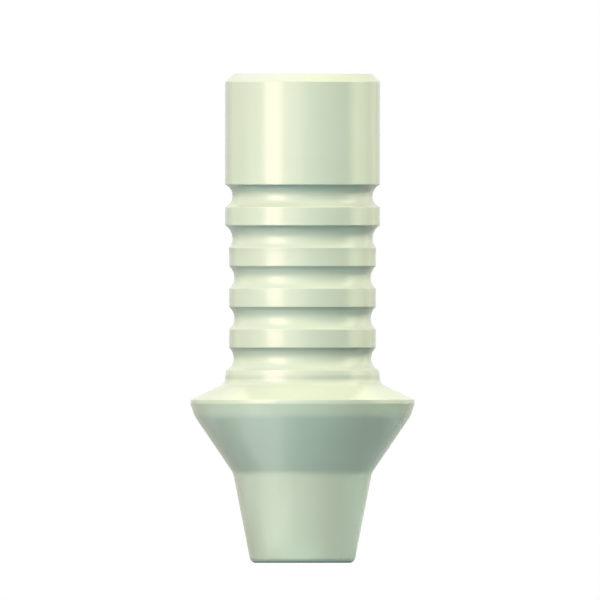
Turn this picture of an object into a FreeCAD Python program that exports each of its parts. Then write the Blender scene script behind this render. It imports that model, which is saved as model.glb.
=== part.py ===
# Temporary abutment for a screw-retained crown on a dental implant, turned in one piece from tooth-coloured
# polymer. From the tip upwards it has an 11 degree cone that seats in the implant, a collar that flares out
# through the gum, a thin rim with a sloping shoulder, and a waisted post with ring grooves that key the
# crown's material. A stepped channel for the abutment screw runs down the axis. Lengths are in millimetres
# and angles in degrees. Z is the axis, and the origin is the centre of the tip face.
import FreeCAD, Part
import math
import os

import Sketcher

SIZES = (
    ("overall_height", 12.0, "tip face to top face"),
    ("cone_half_angle", 11.0, "implant cone, from the axis"),
    ("neck_diameter", 3.4, "where the implant cone meets the collar"),
    ("neck_height", 2.2, "length of the implant cone"),
    ("rim_diameter", 5.5, "widest part"),
    ("rim_thickness", 0.1, "upright band round the widest part"),
    ("rim_height", 4.0, "upper edge of the rim, above the tip face"),
    ("collar_inset", 0.1, "from the rim in to where the collar turns steeper"),
    ("collar_drop", 0.3, "from the rim's lower edge down to that turn"),
    ("shoulder_rise", 0.4, "from the rim up to the foot of the post"),
    ("post_diameter", 3.8, "foot band and plain top band of the post"),
    ("foot_band_height", 0.2, "foot band, from the shoulder up"),
    ("foot_taper_height", 0.4, "taper from the foot band in to the waist, at the lowest groove"),
    ("waist_depth", 0.1, "from the post's bands in to the lands of the waist"),
    ("runout_radius", 2.5, "curve from the waist back out to the top band"),
    ("runout_drop", 0.5, "start of that curve, below the groove that it ends in"),
    ("top_chamfer", 0.2, "outer edge of the top face"),
    ("groove_pitch", 1.0, "one groove to the next"),
    ("waist_groove_count", 2, "grooves that lie wholly in the waist"),
    ("groove_width", 0.55, "mouth of each groove"),
    ("band_groove_depth", 0.18, "upper two grooves, below the top band"),
    ("waist_groove_depth", 0.125, "waist grooves, below the waist"),
    ("foot_groove_depth", 0.11, "lowest groove, below the waist"),
    ("shoulder_fillet", 0.2, "foot of the post to the shoulder"),
    ("collar_fillet", 0.75, "turn of the collar under the rim"),
    ("neck_fillet", 0.4, "collar to implant cone"),
    ("tip_fillet", 0.15, "outer edge of the tip face"),
    ("shank_bore", 1.9, "lower bore, which the screw's thread drops through"),
    ("head_bore", 2.4, "upper bore, for the screw's head and its driver"),
    ("seat_height", 2.4, "inner edge of the screw's seat, above the tip face"),
    ("seat_half_angle", 45.0, "conical seat, from the axis"),
    ("bore_chamfer", 0.05, "inner edges at the tip face and the top face"),
)

# Radii and heights that several features share, as formulas of the sizes above.
NECK_R = "Sizes.neck_diameter / 2"
TIP_R = f"{NECK_R} - Sizes.neck_height * tan(Sizes.cone_half_angle)"
RIM_R = "Sizes.rim_diameter / 2"
POST_R = "Sizes.post_diameter / 2"
WAIST_R = f"{POST_R} - Sizes.waist_depth"
SHANK_R = "Sizes.shank_bore / 2"
HEAD_R = "Sizes.head_bore / 2"
RIM_LOW_Z = "Sizes.rim_height - Sizes.rim_thickness"
POST_FOOT_Z = "Sizes.rim_height + Sizes.shoulder_rise"
FOOT_BAND_Z = f"{POST_FOOT_Z} + Sizes.foot_band_height"
FOOT_GROOVE_Z = f"({FOOT_BAND_Z} + Sizes.foot_taper_height)"
FIRST_WAIST_GROOVE_Z = f"({FOOT_GROOVE_Z} + Sizes.groove_pitch)"
RUNOUT_GROOVE_Z = f"({FIRST_WAIST_GROOVE_Z} + Sizes.waist_groove_count * Sizes.groove_pitch)"
TOP_GROOVE_Z = f"({RUNOUT_GROOVE_Z} + Sizes.groove_pitch)"
RUNOUT_Z = f"({RUNOUT_GROOVE_Z} - Sizes.runout_drop)"

# The numbers by which a sketch knows its origin, its axes and the ends of an element.
ORIGIN = (-1, 1)
HORIZONTAL_AXIS_INDEX = -1
VERTICAL_AXIS_INDEX = -2
START_INDEX = 1
END_INDEX = 2


def make_sheet(doc):
    """The driving dimensions, one row each: name, size and what it measures."""
    sheet = doc.addObject("Spreadsheet::Sheet", "Sizes")
    for row, (name, size, meaning) in enumerate(SIZES, start=1):
        sheet.set(f"A{row}", name)
        sheet.set(f"B{row}", str(size))
        sheet.set(f"C{row}", meaning)
        sheet.setAlias(f"B{row}", name)
    doc.recompute()


def number(owner, formula):
    """What a formula of the sizes comes to. None stands for zero."""
    return 0.0 if formula is None else float(owner.evalExpression(formula))


def place(owner, corner):
    """A corner, given as formulas of its radius and its height, as a point of a sketch."""
    radius, height = corner
    return FreeCAD.Vector(number(owner, radius), number(owner, height), 0)


def new_sketch(body, name):
    """A sketch on the body's XZ plane, where x is the radius and y is the height."""
    sketch = body.newObject("Sketcher::SketchObject", name)
    plane = next(datum for datum in body.Origin.OriginFeatures if datum.Role == "XZ_Plane")
    sketch.AttachmentSupport = [(plane, "")]
    sketch.MapMode = "FlatFace"
    return sketch


def bind(sketch, kind, *elements, formula):
    """Adds a dimension and keeps it tied to its formula."""
    index = sketch.addConstraint(Sketcher.Constraint(kind, *elements, number(sketch, formula)))
    sketch.setExpression(f"Constraints[{index}]", formula)


def hold_point(sketch, element, end, corner):
    """Holds a point at its radius and height. None in place of either keeps it on that axis."""
    radius, height = corner
    if radius is None:
        sketch.addConstraint(Sketcher.Constraint("PointOnObject", element, end, VERTICAL_AXIS_INDEX))
    else:
        bind(sketch, "DistanceX", *ORIGIN, element, end, formula=radius)
    if height is None:
        sketch.addConstraint(Sketcher.Constraint("PointOnObject", element, end, HORIZONTAL_AXIS_INDEX))
    else:
        bind(sketch, "DistanceY", *ORIGIN, element, end, formula=height)


def hold_mark(sketch, corner):
    """A construction point held at a corner."""
    mark = sketch.addGeometry(Part.Point(place(sketch, corner)), True)
    hold_point(sketch, mark, START_INDEX, corner)
    return mark


def end_at(sketch, element, point):
    """Which end of an element lies at a point. An arc can run either way round."""
    return min((START_INDEX, END_INDEX), key=lambda end: (sketch.getPoint(element, end) - point).Length)


def add_arc(sketch, start, centre, end, radius):
    """The arc between two points about a centre, on the side that the points are on."""
    outward = ((start + end) * 0.5 - centre).normalize()
    arc = sketch.addGeometry(Part.Arc(start, centre + outward * number(sketch, radius), end))
    bind(sketch, "Radius", arc, formula=radius)
    return arc


def trim_runs(sketch, before, point, after, radius):
    """Where the run into a corner stops and the run out of it starts, and the centre of the round between
    them. Without a radius the corner is sharp."""
    if radius is None:
        return point, point, None
    back = (before - point).normalize()
    ahead = (after - point).normalize()
    half_angle = back.getAngle(ahead) / 2
    size = number(sketch, radius)
    reach = size / math.tan(half_angle)
    inward = (back + ahead).normalize() * (size / math.sin(half_angle))
    return point + back * reach, point + ahead * reach, point + inward


def join_runs(sketch, before, after, corner, trimmed, radius):
    """Joins two runs at a corner, with a round between them if it has a radius."""
    stop, start, centre = trimmed
    last = (before, end_at(sketch, before, stop))
    first = (after, end_at(sketch, after, start))
    if radius is None:
        sketch.addConstraint(Sketcher.Constraint("Coincident", *last, *first))
        hold_point(sketch, *first, corner)
        return
    arc = add_arc(sketch, stop, centre, start, radius)
    sketch.addConstraint(Sketcher.Constraint("Tangent", *last, arc, end_at(sketch, arc, stop)))
    sketch.addConstraint(Sketcher.Constraint("Tangent", *first, arc, end_at(sketch, arc, start)))
    mark = hold_mark(sketch, corner)
    for run in (before, after):
        sketch.addConstraint(Sketcher.Constraint("PointOnObject", mark, START_INDEX, run))


def draw_section(body, name, corners, rounds=None, arcs=None):
    """A closed half section of runs between the corners. Rounds gives the radius of each rounded corner, and
    arcs the radius and centre of each curved run, by the corner that the run starts from."""
    sketch = new_sketch(body, name)
    rounds = rounds or {}
    arcs = arcs or {}
    points = [place(sketch, corner) for corner in corners]
    neighbours = zip(points[-1:] + points[:-1], points, points[1:] + points[:1])
    trimmed = [trim_runs(sketch, *three, rounds.get(corner)) for three, corner in zip(neighbours, corners)]
    for index, corner in enumerate(corners):
        start = trimmed[index][1]
        stop = trimmed[(index + 1) % len(corners)][0]
        if corner in arcs:
            radius, centre = arcs[corner]
            add_arc(sketch, start, place(sketch, centre), stop, radius)
        else:
            sketch.addGeometry(Part.LineSegment(start, stop))
    for index, corner in enumerate(corners):
        before = (index - 1) % len(corners)
        join_runs(sketch, before, index, corner, trimmed[index], rounds.get(corner))
    return sketch


def turn(body, name, kind, sketch):
    """Adds or cuts what the sketch sweeps in a full turn about the axis."""
    feature = body.newObject(kind, name)
    feature.Profile = sketch
    feature.ReferenceAxis = (sketch, ["V_Axis"])
    feature.Angle = 360
    body.Document.recompute()
    return feature


def turn_blank(body):
    """The outside without its grooves: implant cone, collar, rim, shoulder and waisted post."""
    tip = (TIP_R, None)
    neck = (NECK_R, "Sizes.neck_height")
    collar = (f"{RIM_R} - Sizes.collar_inset", f"{RIM_LOW_Z} - Sizes.collar_drop")
    post_foot = (POST_R, POST_FOOT_Z)
    runout_start = (WAIST_R, RUNOUT_Z)
    runout_centre = (f"{WAIST_R} + Sizes.runout_radius", RUNOUT_Z)
    runout_rise = "sqrt(2 * Sizes.runout_radius * Sizes.waist_depth - Sizes.waist_depth^2)"
    corners = (
        (None, None),
        tip,
        neck,
        collar,
        (RIM_R, RIM_LOW_Z),
        (RIM_R, "Sizes.rim_height"),
        post_foot,
        (POST_R, FOOT_BAND_Z),
        (WAIST_R, FOOT_GROOVE_Z),
        runout_start,
        (POST_R, f"{RUNOUT_Z} + {runout_rise}"),
        (POST_R, "Sizes.overall_height - Sizes.top_chamfer"),
        (f"{POST_R} - Sizes.top_chamfer", "Sizes.overall_height"),
        (None, "Sizes.overall_height"),
    )
    rounds = {
        tip: "Sizes.tip_fillet",
        neck: "Sizes.neck_fillet",
        collar: "Sizes.collar_fillet",
        post_foot: "Sizes.shoulder_fillet",
    }
    arcs = {runout_start: ("Sizes.runout_radius", runout_centre)}
    turn(body, "blank", "PartDesign::Revolution", draw_section(body, "blank_section", corners, rounds, arcs))


def cut_ring_groove(body, name, height, floor, radius_above, radius_below):
    """A ring groove of round section. Its circle passes through both lips of the mouth, which can lie at
    different radii, and touches the floor, for which a construction line stands."""
    sketch = new_sketch(body, f"{name}_section")
    upper_lip = (radius_above, f"{height} + Sizes.groove_width / 2")
    lower_lip = (radius_below, f"{height} - Sizes.groove_width / 2")
    floor_top = (floor, upper_lip[1])
    floor_foot = (floor, lower_lip[1])
    top, foot = place(sketch, floor_top), place(sketch, floor_foot)
    depth = (place(sketch, upper_lip).x + place(sketch, lower_lip).x) / 2 - foot.x
    half_width = (top.y - foot.y) / 2
    radius = (half_width**2 + depth**2) / (2 * depth)
    centre = (top + foot) * 0.5 + FreeCAD.Vector(radius, 0, 0)
    circle = sketch.addGeometry(Part.Circle(centre, FreeCAD.Vector(0, 0, 1), radius))
    for lip in (upper_lip, lower_lip):
        mark = hold_mark(sketch, lip)
        sketch.addConstraint(Sketcher.Constraint("PointOnObject", mark, START_INDEX, circle))
    line = sketch.addGeometry(Part.LineSegment(foot, top), True)
    hold_point(sketch, line, START_INDEX, floor_foot)
    hold_point(sketch, line, END_INDEX, floor_top)
    sketch.addConstraint(Sketcher.Constraint("Tangent", circle, line))
    return turn(body, name, "PartDesign::Groove", sketch)


def repeat_up(body, name, feature, pitch, count):
    """Repeats a cut up the axis."""
    pattern = body.newObject("PartDesign::LinearPattern", name)
    pattern.Originals = [feature]
    pattern.Direction = (feature.Profile[0], ["V_Axis"])
    pattern.Mode = "Spacing"
    pattern.setExpression("Offset", pitch)
    pattern.setExpression("Occurrences", count)
    body.Tip = pattern
    body.Document.recompute()


def cut_grooves(body):
    """The ring grooves of the post, from the lowest up. The lowest opens into the foot taper and the last
    but one into the run-out curve, so their two lips differ."""
    foot_lip = f"{WAIST_R} + Sizes.waist_depth * Sizes.groove_width / 2 / Sizes.foot_taper_height"
    rise = "(Sizes.runout_drop - Sizes.groove_width / 2)"
    runout_lip = f"{WAIST_R} + Sizes.runout_radius - sqrt(Sizes.runout_radius^2 - {rise}^2)"
    foot_floor = f"{WAIST_R} - Sizes.foot_groove_depth"
    waist_floor = f"{WAIST_R} - Sizes.waist_groove_depth"
    band_floor = f"{POST_R} - Sizes.band_groove_depth"
    cut_ring_groove(body, "foot_groove", FOOT_GROOVE_Z, foot_floor, WAIST_R, foot_lip)
    waist_groove = cut_ring_groove(body, "waist_groove", FIRST_WAIST_GROOVE_Z, waist_floor, WAIST_R, WAIST_R)
    repeat_up(body, "waist_grooves", waist_groove, "Sizes.groove_pitch", "Sizes.waist_groove_count")
    cut_ring_groove(body, "runout_groove", RUNOUT_GROOVE_Z, band_floor, POST_R, runout_lip)
    cut_ring_groove(body, "top_groove", TOP_GROOVE_Z, band_floor, POST_R, POST_R)


def bore_channel(body):
    """The stepped screw channel: lower bore, conical seat, upper bore, and a small chamfer at each end."""
    seat_rise = f"({HEAD_R} - {SHANK_R}) / tan(Sizes.seat_half_angle)"
    corners = (
        (None, None),
        (f"{SHANK_R} + Sizes.bore_chamfer", None),
        (SHANK_R, "Sizes.bore_chamfer"),
        (SHANK_R, "Sizes.seat_height"),
        (HEAD_R, f"Sizes.seat_height + {seat_rise}"),
        (HEAD_R, "Sizes.overall_height - Sizes.bore_chamfer"),
        (f"{HEAD_R} + Sizes.bore_chamfer", "Sizes.overall_height"),
        (None, "Sizes.overall_height"),
    )
    turn(body, "screw_channel", "PartDesign::Groove", draw_section(body, "channel_section", corners))


def make_abutment(doc):
    """The whole abutment as one body."""
    body = doc.addObject("PartDesign::Body", "AbutmentBody")
    body.Label = "abutment_body"
    turn_blank(body)
    cut_grooves(body)
    bore_channel(body)
    return body


def check(doc, pieces):
    """Stops if an object failed to build, or if a piece isn't one sound solid."""
    failed = [item.Name for item in doc.Objects if {"Invalid", "Error"} & set(item.State)]
    if failed:
        raise RuntimeError(f"these objects failed to build: {failed}")
    for piece in pieces:
        shape = piece.Shape
        if shape.isNull() or not shape.isValid() or len(shape.Solids) != 1:
            raise RuntimeError(f"{piece.Label} isn't one valid solid")


def main():
    doc = FreeCAD.newDocument("Abutment")
    make_sheet(doc)
    pieces = [make_abutment(doc)]
    doc.recompute()
    check(doc, pieces)
    os.makedirs("parts", exist_ok=True)
    for piece in pieces:
        piece.Shape.exportStep(f"parts/{piece.Label}.step")
        print(f"{piece.Label}: {piece.Shape.Volume:.3f} cubic millimetres")


main()
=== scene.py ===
"""Temporary dental abutment, turned in one piece from tooth-coloured polymer: the finished surface, the
studio and the camera. Lengths are in metres. Z is the axis of the part, and the centre of its tip face is the
origin."""

import math

import bpy
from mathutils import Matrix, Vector


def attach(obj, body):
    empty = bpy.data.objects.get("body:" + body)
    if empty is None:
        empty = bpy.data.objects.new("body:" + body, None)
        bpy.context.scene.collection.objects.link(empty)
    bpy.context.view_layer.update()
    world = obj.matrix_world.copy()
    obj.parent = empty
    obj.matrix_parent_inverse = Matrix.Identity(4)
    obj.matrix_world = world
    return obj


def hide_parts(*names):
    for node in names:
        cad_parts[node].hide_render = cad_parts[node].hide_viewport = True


MM = 0.001

# Outside of the part, from the tip upwards.
OVERALL_HEIGHT = 12.0 * MM
CONE_HALF_ANGLE = math.radians(11)
NECK_RADIUS = 1.7 * MM
NECK_HEIGHT = 2.2 * MM
TIP_RADIUS = NECK_RADIUS - NECK_HEIGHT * math.tan(CONE_HALF_ANGLE)
RIM_RADIUS = 2.75 * MM
RIM_HEIGHT = 4.0 * MM
RIM_THICKNESS = 0.1 * MM
COLLAR_INSET = 0.1 * MM
COLLAR_DROP = 0.3 * MM
SHOULDER_RISE = 0.4 * MM
POST_RADIUS = 1.9 * MM
FOOT_BAND_HEIGHT = 0.2 * MM
FOOT_TAPER_HEIGHT = 0.4 * MM
WAIST_DEPTH = 0.1 * MM
RUNOUT_RADIUS = 2.5 * MM
RUNOUT_DROP = 0.5 * MM
TOP_CHAMFER = 0.2 * MM

# Ring grooves.
GROOVE_PITCH = 1.0 * MM
GROOVE_WIDTH = 0.55 * MM
BAND_GROOVE_DEPTH = 0.18 * MM
WAIST_GROOVE_DEPTH = 0.125 * MM
FOOT_GROOVE_DEPTH = 0.11 * MM
WAIST_GROOVE_COUNT = 2

# Rounds, the soft blend at the top of the foot band, and the hair-fine break on every other edge.
SHOULDER_ROUND = 0.2 * MM
COLLAR_ROUND = 0.75 * MM
NECK_ROUND = 0.4 * MM
TIP_ROUND = 0.15 * MM
FOOT_BAND_ROUND = 0.5 * MM
EDGE_BREAK = 0.012 * MM
EDGE_BREAK_STEPS = 3

# Screw channel.
SHANK_BORE_RADIUS = 0.95 * MM
HEAD_BORE_RADIUS = 1.2 * MM
SEAT_HEIGHT = 2.4 * MM
SEAT_HALF_ANGLE = math.radians(45)
BORE_CHAMFER = 0.05 * MM

# Fineness of the turned mesh.
ARC_STEP_ANGLE = math.radians(5)
ARC_STEP_LENGTH = 0.035 * MM
HOLDING_DISTANCE = 0.025 * MM
TURN_STEPS = 240
SHARP_CORNER = math.radians(11)
MERGE_DISTANCE = 0.0005 * MM

# Surface.
DEEPER_IVORY = (0.63, 0.68, 0.51, 1)
PALER_IVORY = (0.67, 0.72, 0.56, 1)
REFRACTIVE_INDEX = 1.5
ROUGHNESS_RANGE = 0.05
LEAST_ROUGHNESS = 0.19
RING_RELIEF = 0.0015 * MM

# Studio.
LAMP_DISTANCE = 0.15
GLEAM_DISTANCE = 0.04
FLOOR_LAMP_HEIGHT = 0.02 * MM
FLOOR_LAMP_LAYER = 0.004 * MM
FLOOR_SIDE = 0.6
FLOOR_COLOUR = (0.7, 0.7, 0.7, 1)
WHITE = (1, 1, 1, 1)
ROOM_LIGHT = 0.02

# Camera.
CAMERA_DISTANCE = 0.1
NEAREST_SEEN = 0.001
FARTHEST_SEEN = 10

# The photograph: its width, its scale, and the pixel where the axis meets the tip face.
PHOTO_SIDE_PIXELS = 600
PIXELS_PER_METRE = 40.77 / MM
AXIS_PIXEL = 302.52
TIP_FACE_PIXEL = 562.75


def on_outline(radius, height):
    """A point of the half section, in the plane that the part is turned from."""
    return Vector((radius, 0, height))


def bend(before, corner, after, radius):
    """The two steps of a rounded corner: a run to where the round starts, and the arc to where it ends."""
    back = (before - corner).normalized()
    ahead = (after - corner).normalized()
    half_angle = back.angle(ahead) / 2
    reach = radius / math.tan(half_angle)
    centre = corner + (back + ahead).normalized() * (radius / math.sin(half_angle))
    return [(corner + back * reach, None), (corner + ahead * reach, centre)]


def groove(height, floor_radius, lip_below, lip_above):
    """The two steps of a ring groove: a run to its lower lip, and the arc past its floor to its upper lip.
    The arc passes through both lips, which can lie at different radii, and just touches the floor."""
    half_width = GROOVE_WIDTH / 2
    depth_below = lip_below - floor_radius
    depth_above = lip_above - floor_radius
    slant = depth_above - depth_below
    spread = half_width * (depth_above + depth_below)
    excess = half_width**2 - depth_above * depth_below
    rise = -slant * excess / (spread + math.sqrt(spread**2 - slant**2 * excess))
    arc_radius = (depth_above**2 + (half_width - rise) ** 2) / (2 * depth_above)
    centre = on_outline(floor_radius + arc_radius, height + rise)
    return [
        (on_outline(lip_below, height - half_width), None),
        (on_outline(lip_above, height + half_width), centre),
    ]


def cone_and_collar():
    """From the tip face up the implant cone and the flared collar to the upper edge of the rim."""
    tip_centre = on_outline(0, 0)
    tip = on_outline(TIP_RADIUS, 0)
    neck = on_outline(NECK_RADIUS, NECK_HEIGHT)
    rim_low = on_outline(RIM_RADIUS, RIM_HEIGHT - RIM_THICKNESS)
    rim_high = on_outline(RIM_RADIUS, RIM_HEIGHT)
    collar = rim_low - on_outline(COLLAR_INSET, COLLAR_DROP)
    steps = bend(tip_centre, tip, neck, TIP_ROUND)
    steps += bend(tip, neck, collar, NECK_ROUND)
    steps += bend(neck, collar, rim_low, COLLAR_ROUND)
    steps += [(rim_low, None), (rim_high, None)]
    return steps


def shoulder_and_post():
    """From the rim in over the shoulder and up the grooved, waisted post to the edge of the top face."""
    waist_radius = POST_RADIUS - WAIST_DEPTH
    post_foot = on_outline(POST_RADIUS, RIM_HEIGHT + SHOULDER_RISE)
    foot_band_top = post_foot + on_outline(0, FOOT_BAND_HEIGHT)
    foot_groove_height = foot_band_top.z + FOOT_TAPER_HEIGHT
    runout_groove_height = foot_groove_height + (WAIST_GROOVE_COUNT + 1) * GROOVE_PITCH
    runout_start = on_outline(waist_radius, runout_groove_height - RUNOUT_DROP)
    runout_centre = runout_start + on_outline(RUNOUT_RADIUS, 0)
    foot_lip = waist_radius + WAIST_DEPTH * GROOVE_WIDTH / 2 / FOOT_TAPER_HEIGHT
    runout_rise = RUNOUT_DROP - GROOVE_WIDTH / 2
    runout_lip = runout_centre.x - math.sqrt(RUNOUT_RADIUS**2 - runout_rise**2)
    band_floor = POST_RADIUS - BAND_GROOVE_DEPTH

    rim_edge = on_outline(RIM_RADIUS, RIM_HEIGHT)
    steps = bend(rim_edge, post_foot, foot_band_top, SHOULDER_ROUND)
    foot_groove = groove(foot_groove_height, waist_radius - FOOT_GROOVE_DEPTH, foot_lip, waist_radius)
    taper_end, _ = foot_groove[0]
    steps += bend(post_foot, foot_band_top, taper_end, FOOT_BAND_ROUND)
    steps += foot_groove
    for index in range(WAIST_GROOVE_COUNT):
        height = foot_groove_height + (index + 1) * GROOVE_PITCH
        steps += groove(height, waist_radius - WAIST_GROOVE_DEPTH, waist_radius, waist_radius)
    steps += [(runout_start, None)]
    runout_groove = groove(runout_groove_height, band_floor, runout_lip, POST_RADIUS)
    runout_end, _ = runout_groove[0]
    steps += [(runout_end, runout_centre), runout_groove[1]]
    steps += groove(runout_groove_height + GROOVE_PITCH, band_floor, POST_RADIUS, POST_RADIUS)
    steps += [
        (on_outline(POST_RADIUS, OVERALL_HEIGHT - TOP_CHAMFER), None),
        (on_outline(POST_RADIUS - TOP_CHAMFER, OVERALL_HEIGHT), None),
    ]
    return steps


def screw_channel():
    """From the top face down the head bore, over the screw's seat and down the shank bore to the tip face."""
    seat_rise = (HEAD_BORE_RADIUS - SHANK_BORE_RADIUS) / math.tan(SEAT_HALF_ANGLE)
    corners = (
        (HEAD_BORE_RADIUS + BORE_CHAMFER, OVERALL_HEIGHT),
        (HEAD_BORE_RADIUS, OVERALL_HEIGHT - BORE_CHAMFER),
        (HEAD_BORE_RADIUS, SEAT_HEIGHT + seat_rise),
        (SHANK_BORE_RADIUS, SEAT_HEIGHT),
        (SHANK_BORE_RADIUS, BORE_CHAMFER),
        (SHANK_BORE_RADIUS + BORE_CHAMFER, 0),
    )
    return [(on_outline(*corner), None) for corner in corners]


def draw_run(here, there):
    """Pulls the end of the outline along a straight run. A holding point near each end, or at each third of
    a short run, keeps the shading of the run flat up to its corners."""
    along = there - here
    hold = along.normalized() * min(HOLDING_DISTANCE, along.length / 3)
    for step in (hold, along - hold * 2, hold):
        bpy.ops.mesh.extrude_region_move(TRANSFORM_OT_translate={"value": step})


def draw_arc(here, there, centre):
    """Spins the end of the outline about a centre, in steps that suit the arc."""
    spoke = here - centre
    angle = spoke.angle(there - centre)
    steps = math.ceil(max(angle / ARC_STEP_ANGLE, angle * spoke.length / ARC_STEP_LENGTH))
    if spoke.cross(there - centre).y > 0:
        angle = -angle
    bpy.ops.mesh.spin(steps=steps, angle=angle, center=centre, axis=(0, 1, 0))


def draw_outline(steps):
    """Draws the closed half section in edit mode, from one vertex that is pulled along run by run."""
    bpy.ops.mesh.primitive_plane_add(size=MM)
    bpy.ops.object.mode_set(mode="EDIT")
    bpy.ops.mesh.merge(type="CENTER")
    here, _ = steps[0]
    bpy.ops.transform.translate(value=here)
    for there, centre in steps[1:] + steps[:1]:
        if centre is None:
            draw_run(here, there)
        else:
            draw_arc(here, there, centre)
        here = there
    bpy.ops.mesh.select_all(action="SELECT")
    bpy.ops.mesh.remove_doubles(threshold=MERGE_DISTANCE)
    bpy.ops.mesh.select_all(action="DESELECT")
    bpy.ops.object.mode_set(mode="OBJECT")


def break_edges(outline):
    """Rounds every sharp corner of the outline by a hair."""
    mesh = outline.data
    spokes = {vertex.index: [] for vertex in mesh.vertices}
    for edge in mesh.edges:
        first, second = edge.vertices
        along = mesh.vertices[second].co - mesh.vertices[first].co
        spokes[first].append(along)
        spokes[second].append(-along)
    for vertex in mesh.vertices:
        one, other = spokes[vertex.index]
        vertex.select = math.pi - one.angle(other) > SHARP_CORNER
    bpy.ops.object.mode_set(mode="EDIT")
    bpy.ops.mesh.bevel(offset=EDGE_BREAK, segments=EDGE_BREAK_STEPS, affect="VERTICES")
    bpy.ops.object.mode_set(mode="OBJECT")


def turn_on_axis():
    """Turns the outline round the axis into the closed skin of the part."""
    bpy.ops.object.mode_set(mode="EDIT")
    bpy.ops.mesh.select_all(action="SELECT")
    bpy.ops.mesh.spin(steps=TURN_STEPS, angle=math.tau, center=(0, 0, 0), axis=(0, 0, 1))
    bpy.ops.mesh.select_all(action="SELECT")
    bpy.ops.mesh.remove_doubles(threshold=MERGE_DISTANCE)
    bpy.ops.mesh.normals_make_consistent(inside=False)
    bpy.ops.object.mode_set(mode="OBJECT")
    bpy.ops.object.shade_smooth()


def make_abutment():
    """The turned part, which stands for the solid."""
    bpy.ops.object.select_all(action="DESELECT")
    draw_outline(cone_and_collar() + shoulder_and_post() + screw_channel())
    part = bpy.context.object
    part.name = "turned_abutment"
    break_edges(part)
    turn_on_axis()
    part.data.materials.append(satin_polymer())
    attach(part, "root")
    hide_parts("abutment_body")


def add_node(tree, kind, **inputs):
    """A node with the given values in its sockets. An underscore in a name stands for a space."""
    node = tree.nodes.new(kind)
    for name, value in inputs.items():
        node.inputs[name.replace("_", " ")].default_value = value
    return node


def add_math(tree, kind, operation, *values):
    """A Math or Vector Math node, with each value either linked from another node or set."""
    node = tree.nodes.new(kind)
    node.operation = operation
    for socket, value in zip(node.inputs, values):
        if isinstance(value, bpy.types.NodeSocket):
            tree.links.new(value, socket)
        else:
            socket.default_value = value
    return node


def add_noise(tree, vector, per_millimetre, detail, dimensions="3D"):
    """Noise on a place that is given in millimetres."""
    noise = add_node(tree, "ShaderNodeTexNoise", Scale=per_millimetre, Detail=detail)
    noise.noise_dimensions = dimensions
    tree.links.new(vector, noise.inputs["Vector"])
    return noise


def satin_polymer():
    """Opaque tooth-coloured polymer, with a faint mottle and the fine rings that turning leaves."""
    material = bpy.data.materials.new("satin_turned_polymer")
    material.use_nodes = True
    tree = material.node_tree
    shader = tree.nodes["Principled BSDF"]
    shader.inputs["IOR"].default_value = REFRACTIVE_INDEX

    place = tree.nodes.new("ShaderNodeTexCoord").outputs["Object"]
    millimetres = add_math(tree, "ShaderNodeVectorMath", "MULTIPLY", place, (1 / MM, 1 / MM, 1 / MM))
    across = add_math(tree, "ShaderNodeVectorMath", "MULTIPLY", millimetres.outputs["Vector"], (1, 1, 0))
    radius = add_math(tree, "ShaderNodeVectorMath", "LENGTH", across.outputs["Vector"])
    split = tree.nodes.new("ShaderNodeSeparateXYZ")
    tree.links.new(millimetres.outputs["Vector"], split.inputs["Vector"])
    on_section = tree.nodes.new("ShaderNodeCombineXYZ")
    tree.links.new(radius.outputs["Value"], on_section.inputs["X"])
    tree.links.new(split.outputs["Z"], on_section.inputs["Y"])

    mottle = add_noise(tree, millimetres.outputs["Vector"], per_millimetre=1.1, detail=3)
    colour = tree.nodes.new("ShaderNodeMix")
    colour.data_type = "RGBA"
    tree.links.new(mottle.outputs["Fac"], colour.inputs["Factor"])
    colour.inputs["A"].default_value = DEEPER_IVORY
    colour.inputs["B"].default_value = PALER_IVORY
    tree.links.new(colour.outputs["Result"], shader.inputs["Base Color"])

    section = on_section.outputs["Vector"]
    feed_rings = add_noise(tree, section, per_millimetre=9, detail=4, dimensions="2D")
    polish = add_noise(tree, millimetres.outputs["Vector"], per_millimetre=2.5, detail=2)
    uneven = add_math(tree, "ShaderNodeMath", "ADD", feed_rings.outputs["Fac"], polish.outputs["Fac"])
    spread = (uneven.outputs["Value"], ROUGHNESS_RANGE, LEAST_ROUGHNESS)
    roughness = add_math(tree, "ShaderNodeMath", "MULTIPLY_ADD", *spread)
    tree.links.new(roughness.outputs["Value"], shader.inputs["Roughness"])

    relief = add_node(tree, "ShaderNodeBump", Strength=1, Distance=RING_RELIEF)
    tree.links.new(feed_rings.outputs["Fac"], relief.inputs["Height"])
    tree.links.new(relief.outputs["Normal"], shader.inputs["Normal"])
    return material


def towards(azimuth, elevation=0):
    """The direction from the part to a lamp, in degrees. Azimuth 0 is the camera's side, and 90 is +X."""
    turn, rise = math.radians(azimuth), math.radians(elevation)
    return Vector((math.sin(turn) * math.cos(rise), -math.cos(turn) * math.cos(rise), math.sin(rise)))


def hang_lamp(name, place, facing, width, height, radiance, colour):
    """A rectangular lamp that the camera doesn't see."""
    lamp = bpy.data.lights.new(name, "AREA")
    lamp.shape = "RECTANGLE"
    lamp.size = width
    lamp.size_y = height
    lamp.energy = radiance * math.pi * width * height
    lamp.color = colour
    stand = bpy.data.objects.new(name, lamp)
    stand.location = place
    stand.rotation_euler = (-facing).to_track_quat("Z", "Y").to_euler()
    stand.visible_camera = False
    bpy.context.scene.collection.objects.link(stand)
    return stand


def softbox(name, azimuth, half_spread, lowest, highest, distance, radiance, colour):
    """A soft lamp that faces the part and fills the given angles, as seen from the middle of the part."""
    away = towards(azimuth, (lowest + highest) / 2)
    width = 2 * distance * math.tan(math.radians(half_spread))
    height = 2 * distance * math.tan(math.radians((highest - lowest) / 2))
    place = away * distance + Vector((0, 0, OVERALL_HEIGHT / 2))
    return hang_lamp(name, place, -away, width, height, radiance, colour)


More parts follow.
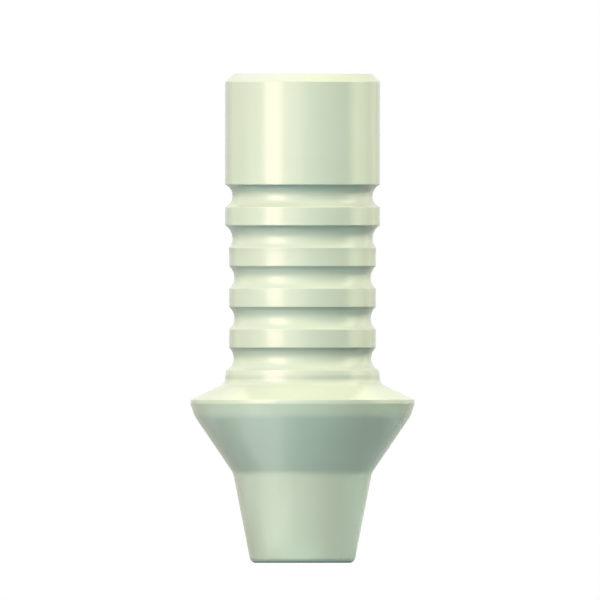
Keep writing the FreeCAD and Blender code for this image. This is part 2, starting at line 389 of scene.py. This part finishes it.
def fill(name, azimuth, half_spread, lowest, highest, radiance, colour=(1, 1, 1)):
    """A softbox that lights the part and leaves no highlight on it."""
    lamp = softbox(name, azimuth, half_spread, lowest, highest, LAMP_DISTANCE, radiance, colour)
    lamp.visible_glossy = False


def gleam(name, azimuth, half_spread, lowest, highest, radiance, colour, distance=GLEAM_DISTANCE):
    """A softbox that is only a highlight on the part."""
    lamp = softbox(name, azimuth, half_spread, lowest, highest, distance, radiance, colour)
    lamp.visible_diffuse = False


def floor_lamp(name, azimuth, reach, side, layer, radiance, colour):
    """A square lamp that lies on the floor. Its reach from the axis and its side are in millimetres. Each has
    a layer of its own, because where two lie in one plane only one of them is found."""
    place = towards(azimuth) * reach * MM + Vector((0, 0, FLOOR_LAMP_HEIGHT + FLOOR_LAMP_LAYER * layer))
    return hang_lamp(name, place, Vector((0, 0, 1)), side * MM, side * MM, radiance, colour)


def light_part():
    """Soft fill lamps all round, a broad highlight on the left, a narrower one on the right, and cool light
    from the floor."""
    warm = (1, 0.71, 0.63)
    ivory = (1, 1, 0.72)
    gold = (1, 0.94, 0.5)
    cool = (0.56, 0.89, 1)
    # Name, azimuth, half spread, lowest and highest elevation, radiance and colour.
    fill("fill_left", -45, 25, 20, 50, 4.85, (1, 0.99, 0.96))
    fill("fill_left_high", -90, 25, 50, 80, 1.65, (1, 0.99, 0.78))
    fill("fill_right", 90, 25, 20, 50, 3.5, (0.94, 1, 0.93))
    fill("fill_right_high", 90, 25, 50, 80, 1.05, (1, 0.99, 0.78))
    fill("fill_front_low", 0, 20, -2, 20, 1.65, (0.96, 0.99, 1))
    fill("fill_front_high", 0, 25, 25, 60, 1.8, (1, 0.9, 0.79))
    fill("fill_back", 180, 40, -2, 40, 2.2)
    gleam("key_low", -43.5, 14, -8, 14, 7.75, warm)
    gleam("key_middle", -43.5, 14, 14, 32, 7.2, warm)
    gleam("key_high", -43.5, 14, 32, 52, 3.0, warm)
    gleam("front_left", -14, 14, -8, 20, 2.1, warm)
    gleam("left", -75, 16, -8, 30, 1.7, warm)
    gleam("back_left", -112, 20, -8, 30, 0.95, ivory)
    gleam("strip", 91, 16, -8, 20, 2.75, ivory)
    gleam("strip_middle", 87.5, 4, -8, 20, 1.4, ivory)
    gleam("strip_high", 93, 9, 20, 50, 3.6, ivory)
    gleam("right", 122, 16, -8, 30, 1.4, ivory)
    gleam("back_right", 147, 12, -8, 16, 0.26, ivory)
    gleam("back_high", 180, 25, 36, 60, 1.1, gold, LAMP_DISTANCE)
    gleam("top_left", -120, 18, 38, 90, 1.3, (0, 0, 1))
    # Name, azimuth, reach, side and radiance, and the colour of a gleam.
    floor_fills = (
        ("floor_tip", 0, 0, 3, 0.4),
        ("floor_left", -20, 3.6, 4, 0.58),
        ("floor_right", 80, 3.6, 4, 0.66),
        ("floor_back", -160, 3.6, 4, 0.5),
        ("floor_middle", -20, 11, 9, 1.45),
        ("floor_middle_back", 170, 11, 9, 0.8),
        ("floor_far", 0, 25, 20, 2.2),
        ("floor_far_back", 180, 25, 20, 1.6),
    )
    floor_gleams = (
        ("floor_gleam", -47, 5, 4.5, 1.3, (1, 0.9, 0.98)),
        ("floor_gleam_near", -30, 3.5, 1.9, 0.45, (1, 0.95, 0.99)),
        ("floor_gleam_far", -48, 8.7, 3.4, 1.0, (1, 0.45, 0.7)),
        ("floor_gleam_left", -97, 10.5, 8, 0.65, (0.7, 1, 1)),
        ("floor_gleam_right", 97, 10.5, 8, 1.0, (0.5, 1, 0.7)),
    )
    for layer, (name, azimuth, reach, side, radiance) in enumerate(floor_fills):
        floor_lamp(name, azimuth, reach, side, layer, radiance, cool).visible_glossy = False
    for layer, (name, azimuth, reach, side, radiance, colour) in enumerate(floor_gleams, len(floor_fills)):
        floor_lamp(name, azimuth, reach, side, layer, radiance, colour).visible_diffuse = False


def white_for_camera(tree):
    """1 for what the camera sees, straight or in a reflection or through glass, and 0 for light that falls on
    the part."""
    path = tree.nodes.new("ShaderNodeLightPath")
    seen = path.outputs["Is Camera Ray"]
    for name in ("Is Glossy Ray", "Is Transmission Ray"):
        seen = add_math(tree, "ShaderNodeMath", "MAXIMUM", seen, path.outputs[name]).outputs["Value"]
    return seen


def light_room():
    """A white background. Nearly all the light comes from the lamps."""
    world = bpy.data.worlds.new("studio")
    world.use_nodes = True
    tree = world.node_tree
    tree.nodes.clear()
    room = add_node(tree, "ShaderNodeBackground", Color=WHITE, Strength=ROOM_LIGHT)
    white = add_node(tree, "ShaderNodeBackground", Color=WHITE, Strength=1.0)
    mix = tree.nodes.new("ShaderNodeMixShader")
    output = tree.nodes.new("ShaderNodeOutputWorld")
    tree.links.new(white_for_camera(tree), mix.inputs[0])
    tree.links.new(room.outputs[0], mix.inputs[1])
    tree.links.new(white.outputs[0], mix.inputs[2])
    tree.links.new(mix.outputs[0], output.inputs["Surface"])
    bpy.context.scene.world = world


def lay_floor():
    """The pale floor that the part stands on."""
    bpy.ops.object.select_all(action="DESELECT")
    bpy.ops.mesh.primitive_plane_add(size=FLOOR_SIDE)
    floor = bpy.context.object
    floor.name = "floor"
    material = bpy.data.materials.new("pale_floor")
    material.use_nodes = True
    tree = material.node_tree
    tree.nodes.clear()
    pale = add_node(tree, "ShaderNodeBsdfDiffuse", Color=FLOOR_COLOUR)
    output = tree.nodes.new("ShaderNodeOutputMaterial")
    tree.links.new(pale.outputs[0], output.inputs["Surface"])
    floor.data.materials.append(material)


def place_camera():
    """A level side view without perspective, as in the photograph."""
    camera = bpy.data.cameras.new("side_view")
    camera.type = "ORTHO"
    camera.ortho_scale = PHOTO_SIDE_PIXELS / PIXELS_PER_METRE
    camera.clip_start = NEAREST_SEEN
    camera.clip_end = FARTHEST_SEEN
    stand = bpy.data.objects.new("side_view", camera)
    middle = PHOTO_SIDE_PIXELS / 2
    across = (middle - AXIS_PIXEL) / PIXELS_PER_METRE
    up = (TIP_FACE_PIXEL - middle) / PIXELS_PER_METRE
    stand.location = (across, -CAMERA_DISTANCE, up)
    stand.rotation_euler = (math.radians(90), 0, 0)
    bpy.context.scene.collection.objects.link(stand)
    bpy.context.scene.camera = stand


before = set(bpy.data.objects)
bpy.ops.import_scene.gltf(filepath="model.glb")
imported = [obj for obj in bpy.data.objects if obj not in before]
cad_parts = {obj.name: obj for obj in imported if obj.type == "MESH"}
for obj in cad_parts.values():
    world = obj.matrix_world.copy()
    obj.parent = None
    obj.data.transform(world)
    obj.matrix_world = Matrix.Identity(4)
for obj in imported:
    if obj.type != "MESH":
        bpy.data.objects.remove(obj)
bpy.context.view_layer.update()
make_abutment()
lay_floor()
light_room()
light_part()
place_camera()
bpy.context.scene.view_settings.view_transform = "Standard"
# Grooves and collar throw no light on each other in the photograph.
bpy.context.scene.cycles.diffuse_bounces = 0
